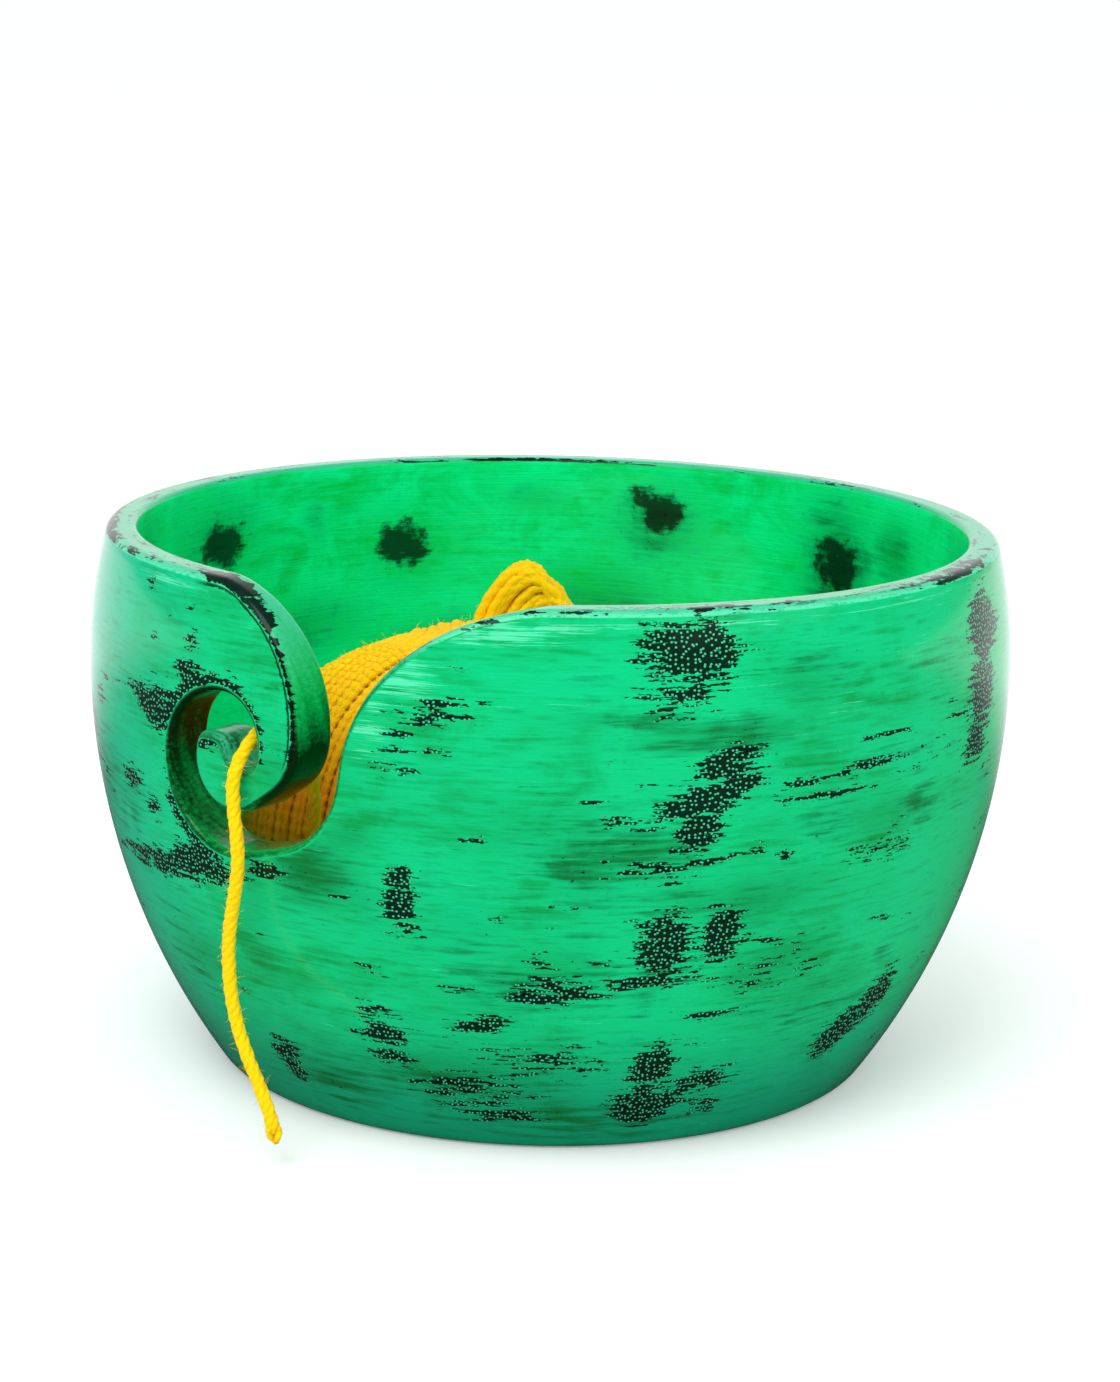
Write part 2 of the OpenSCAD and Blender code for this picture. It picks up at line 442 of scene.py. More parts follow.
def hank_line():
    """The hank's folded line as points, outward directions and the size of its section."""
    s = np.linspace(1, 0, 120)
    eased = np.where(s < HANK_EASE, s * s / (2 * HANK_EASE), s - HANK_EASE / 2) / (1 - HANK_EASE / 2)
    spin = np.radians(90 + HANK_TWIST * eased)
    zero = np.zeros_like(s)
    out = np.column_stack([np.cos(spin), zero, np.sin(spin)])
    half = HANK_AT + HANK_HELIX_R * out + np.column_stack([zero, HANK_LENGTH * s, zero])
    other = HANK_AT - HANK_HELIX_R * out + np.column_stack([zero, HANK_LENGTH * s, zero])
    a = np.linspace(0, np.pi, 60)[1:-1]
    fold_out = np.column_stack([np.zeros_like(a), -np.sin(a), np.cos(a)])
    size = np.where(s < 1 - HANK_END_ROUND, 1, np.sqrt(np.maximum(
        0.004, 1 - ((s - 1 + HANK_END_ROUND) / HANK_END_ROUND) ** 2)))
    points = np.vstack([half, HANK_AT + HANK_HELIX_R * fold_out, other[::-1]])
    outward = np.vstack([out, fold_out, -out[::-1]])
    sizes = np.concatenate([size, np.ones(len(a)), size[::-1]])
    line = resample(np.column_stack([points, outward, sizes]), SURFACE_STEP)
    return line[:, :3], line[:, 3:6], line[:, 6]


def lead_line():
    """The turn of the hank that becomes the working strand: it lies on the fold and comes off
    it where the strand starts."""
    start_x = STRAND_ROUTE[0][0]
    share = np.linspace(0, 1, 40)
    x = start_x - 7 * share
    angle = np.radians(4.5 - 95 * share)
    half = np.sqrt(HANK_HALF_R ** 2 - (x - HANK_AT[0]) ** 2)
    reach = HANK_HELIX_R + half + 0.2 + 2.6 * (1 - share) ** 3
    return np.column_stack([x, HANK_AT[1] - reach * np.cos(angle), HANK_AT[2] + reach * np.sin(angle)])


def make_hank(material, core_material):
    """Strands laid along both halves of the hank, over a core of deeper yellow, which is painted
    shade seen in the gaps between the strands.
    """
    rng = np.random.default_rng(SEED + 1)
    path, out, size = hank_line()
    tangents = unit(np.gradient(path, axis=0))
    u = unit(out - np.sum(out * tangents, axis=1, keepdims=True) * tangents)
    v = np.cross(tangents, u)
    share = np.linspace(0, 1, len(path))
    strands = TubeMesh()
    roots, outs = [], []
    for k in range(SURFACE_STRANDS):
        phase = 2 * np.pi * k / SURFACE_STRANDS
        wave = rng.uniform(0, 2 * np.pi, 3)
        sway = 0.02 * np.sin(2 * np.pi * 1.3 * share + wave[0]) + 0.01 * np.sin(25 * share + wave[1])
        turn = phase + sway - 0.5 * share
        lift = HANK_HALF_R - 1.45 + 0.15 * np.sin(17 * share + wave[2]) + rng.uniform(-0.2, 0.15)
        reach = size * lift
        around = np.cos(turn)[:, None] * u + np.sin(turn)[:, None] * v
        line = path + reach[:, None] * around
        radius = SURFACE_STRAND_R * (1 + 0.05 * np.sin(40 * share + wave[1]))
        tint = rng.uniform(0, 1)
        strands.add(line, radius, plies=2, depth=0.04, pitch=YARN_PITCH, phase=wave[0], tint=tint)
        roots.append(line)
        outs.append(around)
    piece = finished(strands.build("yarn_hank_strands"), "skein", material)
    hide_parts("yarn_hank")
    lead = TubeMesh()
    lead.add(lead_line(), YARN_D / 2, sides=10, plies=2, depth=YARN_DEPTH, pitch=YARN_PITCH,
             tint=0.1)
    finished(lead.build("yarn_hank_lead"), "skein", material)
    core = TubeMesh()
    core.add(path, size * (HANK_HALF_R - 0.95), sides=32, tint=1.0)
    finished(core.build("yarn_hank_core"), "skein", core_material)
    roots, outs = np.vstack(roots), np.vstack(outs)
    picks = rng.choice(len(roots), HANK_HAIRS, replace=False)
    fuzz("yarn_hank_fuzz", roots[picks] + outs[picks] * HAIR_ROOT, outs[picks],
         rng.uniform(0.5, 1.5, len(picks)), rng, material, "skein")


LOOPS_AT = np.array([-18.0, 18.0])
LOOP_COUNT = 22
LOOP_FOOT = 66  # height at which the loops start, inside the hank
LOOPS_MIDDLE_Z = 74
LOOP_HAIRS = 220


def make_end_loops(material):
    """The hank's end loops: arches of single strands that stand up over its far end."""
    rng = np.random.default_rng(SEED + 2)
    a = math.radians(VIEW_AZIMUTH)
    across = np.array([math.cos(a), math.sin(a)])
    deep = np.array([-math.sin(a), math.cos(a)])
    tubes = TubeMesh()
    for k in range(LOOP_COUNT):
        share = k / (LOOP_COUNT - 1)
        # Feet, top and lean change from the first loop to the last, each a little uneven
        left = -13.0 + 11.0 * share ** 1.3 + rng.uniform(-0.4, 0.4)
        right = 0.5 + 10.5 * share ** 0.9 + rng.uniform(-0.4, 0.4)
        apex = 90.3 - 7.5 * share ** 1.6 + rng.uniform(-0.7, 0.4)
        depth = rng.uniform(-3.2, 3.2)
        lean = 4.2 * (1 - share) + rng.uniform(-0.5, 0.5)
        t = np.linspace(0, np.pi, 46)
        side = (left + right) / 2 - (right - left) / 2 * np.cos(t) + lean * np.sin(t) ** 2
        height = LOOP_FOOT + (apex - LOOP_FOOT) * np.sin(t) ** 0.85
        back = depth + 1.4 * np.sin(t + rng.uniform(0, 6))
        flat = LOOPS_AT + side[:, None] * across + back[:, None] * deep
        path = resample(np.column_stack([flat, height]), SURFACE_STEP)
        tubes.add(path, SURFACE_STRAND_R, sides=9, plies=2, depth=YARN_DEPTH, pitch=YARN_PITCH,
                  phase=rng.uniform(0, 6), tint=rng.uniform(0, 0.8))
    loops = finished(tubes.build("yarn_end_loops"), "skein", material)
    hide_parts("hank_end_loops")
    points = np.vstack(tubes.points)
    picks = rng.choice(len(points), LOOP_HAIRS, replace=False)
    away = unit(points[picks] - np.append(LOOPS_AT, LOOPS_MIDDLE_Z))
    fuzz("yarn_end_loops_fuzz", points[picks], away, rng.uniform(0.5, 1.5, len(picks)), rng,
         material, "skein")


strand_yarn = yarn_material("strand_yarn", srgb(255, 216, 0), srgb(255, 198, 0),
                            srgb(255, 196, 0), PAINTED_SHADE_YELLOW)
make_strand(strand_yarn)

# ---- bowl: shape

RIM_Z = 104
BELLY_R = 89
BELLY_Z = 78
BELLY_LOW_R = 136
BELLY_TOP_R = 93
FOOT_R = 3
FLOOR_Z = 10
MOUTH_R = 79.6
STRAIGHT_Z = 88
INNER_CURVE_R = 142
CORNER_R = 18
WALL_BOTTOM = 48  # below this height the wall is turned rings, above it a fine net
COLUMNS = 240  # points in a ring
NET_STEP = 1.7  # between the net's points, in rows of near-even triangles
OUTER_ROUND = 1.5  # rounding of the upper edge and the slot's edges, outside and inside
INNER_ROUND = 1.1
WELD = 0.01  # nearer points of the bowl's parts become one


def outer_r(z):
    z = np.asarray(z, float)
    curve = np.where(z < BELLY_Z, BELLY_LOW_R, BELLY_TOP_R)
    return BELLY_R - curve + np.sqrt(curve ** 2 - (z - BELLY_Z) ** 2)


def inner_r(z):
    z = np.minimum(np.asarray(z, float), STRAIGHT_Z)
    return MOUTH_R - INNER_CURVE_R + np.sqrt(INNER_CURVE_R ** 2 - (z - STRAIGHT_Z) ** 2)


def arc(centre, radius, start, end):
    """Points of an arc, from one angle to another, in degrees."""
    count = max(3, int(abs(math.radians(end - start)) * radius / 0.3))
    a = np.radians(np.linspace(start, end, count))
    return np.column_stack([centre[0] + radius * np.cos(a), centre[1] + radius * np.sin(a)])


# The slot's arcs, seen from the front: the centre as x and z, and the radius
TURN = ((-5, 70), 14.6)
LOW_TURN = ((2.5, 74.5), 17)
SHOULDER = ((53.7, 70.1), 34.2)
HOOK = ((-12, 80.1), 24.2)
HEEL = ((-1.2, 78.6), 13.3)
CURL = ((-3.4, 71.8), 8.9)
EYE = ((-5, 76.4), 8.2)
POCKET = ((-0.4, 75), 3.6)
TIP_Z = 77
TIP_LEFT = -10.6
FINE_STEP = 0.25
OUTLINE_STEP = 0.75
SOFTENING = 1.1


def slot_outline():
    """The slot's outline from the rim down the shoulder, round the spiral and up the hook,
    as x, z and the cut face's darkness, with a stretch of rim at each end; that darkness is
    partly stain and partly painted shade, deep in the spiral and where the face turns down."""
    right = SHOULDER[0][0]
    left = HOOK[0][0]
    tip_right = POCKET[0][0] - POCKET[1]
    tip = np.array([[tip_right, TIP_Z - 1.2], [tip_right - 1.2, TIP_Z], [TIP_LEFT, TIP_Z]])
    # Each stretch with how dark its cut face is, at its start and at its end: partly stain, and
    # painted shade where the face lies deep in the spiral or turns down
    stretches = [
        (arc(*SHOULDER, 97.6, 170.1), 0.0, 0.45), (arc(*LOW_TURN, -9.9, -75), 0.5, 0.55),
        (arc(*TURN, -75, -270), 0.6, 1.0), (arc(*EYE, 90, 0), 0.9, 0.5),
        (arc(*POCKET, 0, -180), 0.35, 0.2), (tip, 0.15, 0.3), (arc(*CURL, 150, 304), 0.35, 0.7),
        (arc(*HEEL, -56, -8), 0.95, 0.9), (arc(*HOOK, -8, 81), 0.75, 0.0)]
    rows = [[right + 14, RIM_Z, 0], [right, RIM_Z, 0]]
    for points, start, end in stretches:
        rows += np.column_stack([points, np.linspace(start, end, len(points))]).tolist()
    rows += [[left - 4, RIM_Z, 0], [left - 16, RIM_Z, 0]]
    # A bell-shaped average along the outline softens its corners
    fine = resample(rows, FINE_STEP)
    sigma = SOFTENING / FINE_STEP
    reach = int(3 * sigma)
    weights = np.exp(-0.5 * (np.arange(-reach, reach + 1) / sigma) ** 2)
    weights /= weights.sum()
    soft = np.column_stack([np.convolve(fine[:, k], weights, mode="valid") for k in range(3)])
    return resample(soft, OUTLINE_STEP)


def on_wall(azimuth, z, radius):
    a = np.radians(azimuth)
    return np.column_stack([radius * np.sin(a), -radius * np.cos(a), z])


def edge_loop():
    """The whole upper edge, from the back round by the right to the slot and on to the back:
    for each point the outer azimuth, the inner azimuth, the height and the cut face's darkness,
    partly stain and partly painted shade."""
    slot = slot_outline()
    x, z = slot[:, 0], np.minimum(slot[:, 1], RIM_Z)
    out_az = np.degrees(np.arcsin(x / outer_r(z)))
    in_az = np.degrees(np.arcsin(x / inner_r(z)))
    step = 1.0
    right = np.arange(180, out_az[0] + step, -step)
    left = np.arange(out_az[-1] - step, -180, -step)
    az = np.concatenate([right, out_az, left])
    heights = np.concatenate([np.full(len(right), RIM_Z), z, np.full(len(left), RIM_Z)])
    shade = np.concatenate([np.zeros(len(right)), slot[:, 2], np.zeros(len(left))])
    lag_right, lag_left = in_az[0] - out_az[0], in_az[-1] - out_az[-1]
    inner = np.concatenate([right + lag_right * smoothstep(85, out_az[0], right), in_az,
                            left + lag_left * smoothstep(-50, out_az[-1], left)])
    return az, inner, heights, shade


def edge_rows(az, inner_az, z):
    """Rows of points across the upper edge, from the outer wall over the cut to the inner."""
    outer = on_wall(az, z, outer_r(z))
    inner = on_wall(inner_az, z, inner_r(z))
    tangent = unit(np.roll(outer, -1, axis=0) - np.roll(outer, 1, axis=0))

    def wall_normal(azimuth, heights, radius, sign):
        slope = (radius(heights + 0.1) - radius(heights - 0.1)) / 0.2
        a = np.radians(azimuth)
        return sign * unit(np.column_stack([np.sin(a), -np.cos(a), -slope]))

    level = np.minimum(z, RIM_Z - 0.2)
    up_out = unit(np.cross(tangent, wall_normal(az, level, outer_r, 1)))
    up_in = unit(np.cross(wall_normal(inner_az, level, inner_r, -1), tangent))
    across = unit(inner - outer)

    def rounding(at, radius, up, way):
        return [at + radius * ((math.sin(t) - 1) * up + (1 - math.cos(t)) * way)
                for t in np.radians(np.linspace(0, 90, 5))]

    first = rounding(outer, OUTER_ROUND, up_out, across)
    last = rounding(inner, INNER_ROUND, up_in, -across)[::-1]
    shares = np.linspace(0, 1, 6)[1:-1]
    return first + [(1 - share) * first[-1] + share * last[0] for share in shares] + last


def azimuth_of(points, like):
    """Azimuths of points, each within half a turn of the azimuth beside it in like."""
    found = np.degrees(np.arctan2(points[:, 0], -points[:, 1]))
    return found + 360 * np.round((like - found) / 360)


def within(points, ring):
    """Which points lie inside a closed outline, by counting its crossings to the right."""
    x, y = points[:, 0], points[:, 1]
    crossings = np.zeros(len(points), int)
    for a, b in zip(ring, np.roll(ring, -1, axis=0)):
        if a[1] != b[1]:
            beside = (a[1] > y) != (b[1] > y)
            crossings += beside & (x < a[0] + (y - a[1]) * (b[0] - a[0]) / (b[1] - a[1]))
    return crossings % 2 == 1


def wall_net(azimuth, z, bottom_az):
    """Triangles of a wall between the ring at WALL_BOTTOM and its upper edge,
    worked out on the wall laid flat. Returns azimuths, heights and triangles."""
    flat = np.radians(BELLY_R)
    edge = np.column_stack([azimuth * flat, z])
    heights = np.arange(WALL_BOTTOM + 2, z[0] - 1, 2.0)
    right_side = np.column_stack([np.full(len(heights), 180 * flat), heights])
    left_side = right_side[::-1] * [-1, 1]
    bottom = np.column_stack([bottom_az * flat, np.full(len(bottom_az), WALL_BOTTOM)])
    ring = np.vstack([bottom, right_side, edge, left_side])
    rows = []
    for i, v in enumerate(np.arange(WALL_BOTTOM + NET_STEP, RIM_Z, NET_STEP * 0.87)):
        start = -180 * flat + NET_STEP * (0.5 + 0.5 * (i % 2))
        u = np.arange(start, 180 * flat - NET_STEP / 2, NET_STEP)
        rows.append(np.column_stack([u, np.full(len(u), v)]))
    inside = np.vstack(rows)
    near = np.full(len(inside), 1e9)
    for part in np.array_split(ring, 12):
        gap = np.linalg.norm(inside[:, None, :] - part[None, :, :], axis=2).min(axis=1)
        near = np.minimum(near, gap)
    inside = inside[near > 0.62 * NET_STEP]
    count = len(ring)
    edges = [(i, (i + 1) % count) for i in range(count)]
    points = [Vector(p) for p in np.vstack([ring, inside])]
    verts, _, faces, _, _, _ = delaunay_2d_cdt(points, edges, [], 0, 1e-6, False)
    verts = np.array([list(p) for p in verts])
    faces = np.array([list(f) for f in faces])
    faces = faces[within(verts[faces].mean(axis=1), ring)]
    return verts[:, 0] / flat, verts[:, 1], faces.tolist()


def lathe_part(profile, azimuths):
    """Rings of points for a list of (radius, height), the last of them on the axis."""
    rings = [on_wall(azimuths, np.full(len(azimuths), h), r) for r, h in profile[:-1]]
    points = np.vstack(rings + [np.array([[0, 0, profile[-1][1]]])])
    n = len(azimuths)
    k = np.arange(n)
    last = (len(profile) - 2) * n
    middle = np.column_stack([last + k, last + (k + 1) % n, np.full(n, len(points) - 1)])
    return points, quads(len(profile) - 1, n) + middle.tolist()


def lower_profile(wall_r, widest, curve_r, curve_z, round_r, bottom, bends, rings):
    """Radius and height from the ring at WALL_BOTTOM down a curved wall, round an arc of
    round_r and in to the axis; the wall is an arc of curve_r, widest at curve_z."""
    rise, reach = curve_z - bottom - round_r, curve_r - round_r
    centre_r = widest - curve_r + math.sqrt(reach ** 2 - rise ** 2)
    a = np.linspace(-math.asin(rise / reach), -math.pi / 2, bends)
    bend = np.column_stack([centre_r + round_r * np.cos(a), bottom + round_r * (1 + np.sin(a))])
    heights = np.linspace(WALL_BOTTOM, bend[0][1], rings)[:-1]
    base = [[r, bottom] for r in np.linspace(bend[-1][0], 0, 16)[1:]]
    return np.vstack([np.column_stack([wall_r(heights), heights]), bend, base])


def bowl_shape():
    """The bowl's points and faces, and for each point where it lies across the upper edge
    (0 outside, 1 inside) and how dark its cut face is, partly stain and partly painted shade."""
    az, inner_az, z, shade = edge_loop()
    rows = edge_rows(az, inner_az, z)
    n = len(az)
    points, faces, lip, dark = [], [], [], []
    count = 0

    def take(new_points, new_faces, new_lip, new_dark, flip=False):
        nonlocal count
        points.append(new_points)
        for f in new_faces:
            corners = [count + i for i in f]
            faces.append(corners[::-1] if flip else corners)
        lip.append(np.broadcast_to(new_lip, (len(new_points),)))
        dark.append(np.broadcast_to(new_dark, (len(new_points),)))
        count += len(new_points)

    first_az, last_az = azimuth_of(rows[0], az), azimuth_of(rows[-1], inner_az)
    first_z, last_z = rows[0][:, 2], rows[-1][:, 2]
    rows[0] = on_wall(first_az, first_z, outer_r(first_z))
    rows[-1] = on_wall(last_az, last_z, inner_r(last_z))
    across = np.repeat(np.linspace(0, 1, len(rows)), n)
    take(np.vstack(rows), quads(len(rows), n), across, np.tile(shade, len(rows)))

    outer_profile = lower_profile(outer_r, BELLY_R, BELLY_LOW_R, BELLY_Z, FOOT_R, 0, 5, 24)
    inner_profile = lower_profile(inner_r, MOUTH_R, INNER_CURVE_R, STRAIGHT_Z, CORNER_R, FLOOR_Z,
                                  12, 14)
    bottom_az = np.linspace(-180, 180, COLUMNS + 1)
    for edge_az, edge_z, radius, side, profile in (
            (first_az, first_z, outer_r, 0.0, outer_profile),
            (last_az, last_z, inner_r, 1.0, inner_profile)):
        closed_az = np.append(edge_az, edge_az[0] - 360)
        closed_z = np.append(edge_z, edge_z[0])
        net_az, net_z, net = wall_net(closed_az, closed_z, bottom_az)
        take(on_wall(net_az, net_z, radius(net_z)), net, side, 0.0, flip=side > 0)
        ring_points, ring_faces = lathe_part(profile, bottom_az[:-1])
        take(ring_points, ring_faces, side, 0.0, flip=side > 0)
    return np.vstack(points), faces, np.concatenate(lip), np.concatenate(dark)


# ---- bowl: stain

# Dark rubbed patches: azimuth, height, half width in degrees, half height, the height's rise
# a degree where there is one, and strength (1 is a full patch, about 0.6 a row of dashes)
OUTER_PATCHES = [
    (53, 97, 6, 5, 1), (52, 90, 5, 1.6, 0.85), (51, 86.5, 4, 1, 0.6),
    (57, 78, 4, 3, 0.3, 0.9), (55, 72, 6, 3, 0.45, 1), (54, 66, 3, 3, 0.2, 1),
    (72, 74, 15, 0.8, 0.12, 0.85), (70, 70.5, 12, 0.7, 0.1, 0.8), (78, 79, 8, 0.6, 0.1, 0.65),
    (50, 60, 8, 2, 0.05, 0.6), (62, 62, 6, 0.7, 0.1, 0.7), (44, 67, 7, 0.6, 0.1, 0.65),
    (51, 45, 3.6, 5.5, 0.2, 1), (58, 46, 2.4, 5.5, 0.2, 1), (50, 38, 6, 1.6, 0.1, 0.85),
    (40, 41, 7, 0.8, 0.05, 0.75), (40, 36, 8, 0.8, 0.05, 0.75), (36, 42, 2, 2, 0.6),
    (52, 19, 3, 5, 0.1, 1), (52, 10, 5, 4, 0.1, 1), (60, 15, 4.5, 3, 0.2, 0.9),
    (61, 9, 4, 2, 0.1, 0.7), (83, 20, 4.5, 4.5, 0.5, 1), (88, 25, 3.5, 5, 0.5, 1),
    (101, 93, 4.4, 6.5, 1), (100, 82, 4, 6.5, 1), (98.5, 73, 3.6, 4, 0.9),
    (104, 66, 3, 2, 0.6), (93, 79, 5, 0.7, 0.1, 0.7), (91, 74, 5, 0.7, 0.1, 0.7),
    (25, 87.5, 5.5, 0.9, 0.02, 0.95), (24, 84.6, 4.6, 0.8, 0.9), (20.5, 82, 2.5, 0.6, 0.75),
    (19.5, 79, 2.8, 0.7, 0.85), (20, 75.8, 3.2, 0.8, 0.85),
    (20, 56, 2, 2.4, 0.95), (20, 51, 2.2, 3, 1), (20.5, 45.5, 2.4, 1, 0.7),
    (14.5, 30, 3, 0.9, -0.1, 0.85), (16, 26.6, 4, 1.1, -0.1, 0.95), (16, 23, 4.2, 1.1, -0.1, 0.95),
    (17, 19.5, 4, 0.9, -0.1, 0.85), (18, 17, 3, 0.7, 0.7), (28, 10, 8, 0.7, 0.85),
    (27, 13, 9, 0.7, 0.85), (26, 16, 6, 0.7, 0.8), (32, 7.5, 7, 0.7, 0.8),
    (44, 49, 6, 0.6, 0.1, 0.75), (42, 38.5, 8, 0.7, 0.1, 0.85), (38, 34, 6, 0.6, 0.1, 0.8),
    (62, 39, 6, 0.7, 0.1, 0.8), (65, 44, 5, 0.6, 0.1, 0.7), (60, 30, 7, 0.6, 0.1, 0.75),
    (28, 27.8, 4, 1.2, 0.25, 1), (31, 29.4, 2.4, 1.2, 0.1, 1),
    (-3, 15, 3, 3, 0.3, 0.95), (-2, 10.5, 2.4, 2, 0.2, 0.85),
    (-15, 79, 4, 4.2, 1), (-18.5, 81, 3.4, 1.4, 0.9), (-8.5, 86.5, 3, 2.2, 0.9),
    (-9, 92, 1.4, 2.2, 0.7), (-5.4, 75.2, 2.3, 1.4, 0.95), (-13.5, 95.5, 1.2, 1, 0.6),
    (-19, 100, 1.4, 1.2, 0.7), (-10, 98, 1.6, 1, 0.6), (-16, 91, 0.9, 1, 0.62),
    (-9, 51, 6, 3.6, 0.1, 1), (-17, 48.5, 4.5, 2.6, 0.1, 0.95), (-25, 47.5, 5, 2.2, 0.8),
    (2, 53.5, 2.6, 1.6, 0.1, 0.9), (-33, 75, 2, 3, 0.6), (-22, 63, 2.6, 3, 0.75),
    (-17.5, 59, 2, 2.2, 0.75), (27, 13, 9, 5, 0.5), (38, 21, 10, 4, 0.5),
    (66, 36, 9, 3, 0.1, 0.42), (78, 58, 8, 3, 0.45)]
# Dark bands along the spiral's edge: its circle, from and to in degrees from the right hand
# side upwards, width and strength
EDGE_BANDS = [
    (EYE, -20, 70, 1.7, 1.0), (EYE, 60, 150, 3.0, 1.0), (TURN, 118, 165, 3.4, 1.0),
    (TURN, 160, 206, 1.3, 0.85), (TURN, 200, 262, 2.6, 1.0), (TURN, 250, 285, 2.0, 0.8)]
# Dark streaks on the top of the rim: azimuth, place across it from the outside (0) to the
# inside (1), half width in degrees, half width across, and strength
RIM_STREAKS = [
    (-55, 0.1, 26, 0.22, 1), (-100, 0.1, 14, 0.14, 0.8), (-5, 0.3, 5, 0.32, 1), (5, 0.16, 7, 0.2, 1),
    (14, 0.12, 7, 0.2, 1), (165, 0.1, 14, 0.14, 0.5), (98, 0.3, 14, 0.3, 0.75), (60, 0.3, 12, 0.2, 0.6),
    (-140, 0.9, 20, 0.14, 0.7), (35, 0.1, 10, 0.12, 0.6)]
# Clouds of deeper stain, in the same form as the patches
SMUDGES = [
    (55, 83, 9, 2.4, 0.05, 1), (47, 62, 10, 4, 0.1, 0.9), (38, 66, 9, 6, 0.45),
    (60, 52, 12, 5, 0.1, 0.7), (36, 38, 12, 7, 0.1, 0.5), (9, 56, 5, 6, 1),
    (13, 62, 4, 3, 0.7), (-30, 60, 7, 9, 0.6), (-22, 86, 6, 5, 0.4), (80, 64, 14, 4, 0.6),
    (66, 92, 6, 4, 0.6), (90, 88, 8, 6, 0.45), (76, 30, 12, 6, 0.1, 0.5), (25, 15, 14, 5, 0.8),
    (5, 12, 12, 5, 0.6), (45, 8, 16, 4, 0.8), (-15, 30, 8, 7, 0.5), (5, 66, 4, 10, 0.5),
    (66, 40, 8, 4, 0.1, 0.7), (48, 86, 8, 2, 0.7)]
INNER_SMUDGES = [
    (-75, 84, 5, 14, 0.6), (-83, 91, 9, 8, 0.7), (-119, 84, 9, 9, 0.5),
    (-160, 91, 8, 9, 0.6), (-150, 72, 10, 8, 0.8), (168, 80, 7, 18, 0.9),
    (155, 92, 5, 6, 0.8), (128, 86, 8, 10, 0.7), (-100, 70, 12, 6, 0.7),
    (-60, 92, 6, 8, 0.6), (-130, 64, 16, 5, 0.7), (-140, 95, 6, 3, 0.5),
    (180, 66, 14, 6, 0.7), (-104, 92, 3, 8, 0.4)]
INNER_PATCHES = [
    (-84, 90.5, 5, 4.4, 1), (-119, 86, 4, 4.8, 1), (-160, 93, 4, 4.2, 1),
    (-157, 96, 3, 3, 0.8), (168, 87, 4.2, 6, 1), (166, 79, 3.4, 5, 0.9),
    (128, 88, 3.2, 5, 1), (92, 85, 3, 4.6, 0.95), (60, 90, 3.4, 4, 0.9),
    (-46, 88, 3.2, 4.6, 0.95)]
DASH_COUNT = 210
# Pale strokes of rubbed-through stain, in the same form
PALE_STROKES = [
    (30, 99.6, 9, 1.6, 1), (21, 91, 5, 5, 0.8), (17, 84, 3.4, 8, 0.75),
    (40, 101.3, 14, 0.9, 0.9), (60, 101.6, 10, 0.8, 0.8), (-14, 101.5, 10, 1, 0.8),
    (0, 98, 5, 4, 0.45), (90, 101.8, 20, 0.8, 0.7), (72, 84, 10, 8, 0.4),
    (150, 101.8, 30, 0.8, 0.8), (-110, 101.8, 40, 0.8, 0.8)]


def back_patches(rng):
    """Patches for the half of the outside that faces away, like those in front."""
    rows = []
    for az in np.arange(122, 320, 14):
        for z in (92, 70, 45, 18):
            if rng.uniform() < 0.55:
                a = az + rng.uniform(-6, 6)
                h = z + rng.uniform(-7, 7)
                rows.append((a, h, rng.uniform(2.4, 5), rng.uniform(2.5, 5.5),
                             rng.uniform(0, 0.3), rng.uniform(0.8, 1)))
                rows.append((a + rng.uniform(-9, 9), h - rng.uniform(2, 7),
                             rng.uniform(6, 11), 0.8, 0.04, rng.uniform(0.6, 0.8)))
    return rows


def loose_dashes(rng):
    """Short dark dashes along the turning, all round and closest together low down."""
    rows = []
    for _ in range(DASH_COUNT):
        z = RIM_Z - 8 - (RIM_Z - 16) * rng.uniform() ** 0.75
        rows.append((rng.uniform(-180, 180), z, rng.uniform(1.2, 4.5), rng.uniform(0.35, 0.7),
                     rng.uniform(0, 0.12), rng.uniform(0.5, 0.78)))
    return rows


def field(azimuth, z, rows, softness=0.3):
    """The strongest of the patches at each point: 0.5 of its strength at a patch's edge."""
    level = np.zeros(len(azimuth))
    for az, height, half_az, half_z, *rise, strength in rows:
        da = (azimuth - az + 180) % 360 - 180
        reach = np.hypot(da / half_az, (z - height - sum(rise) * da) / half_z)
        level = np.maximum(level, strength / (1 + np.exp((reach - 1) / softness)))
    return level


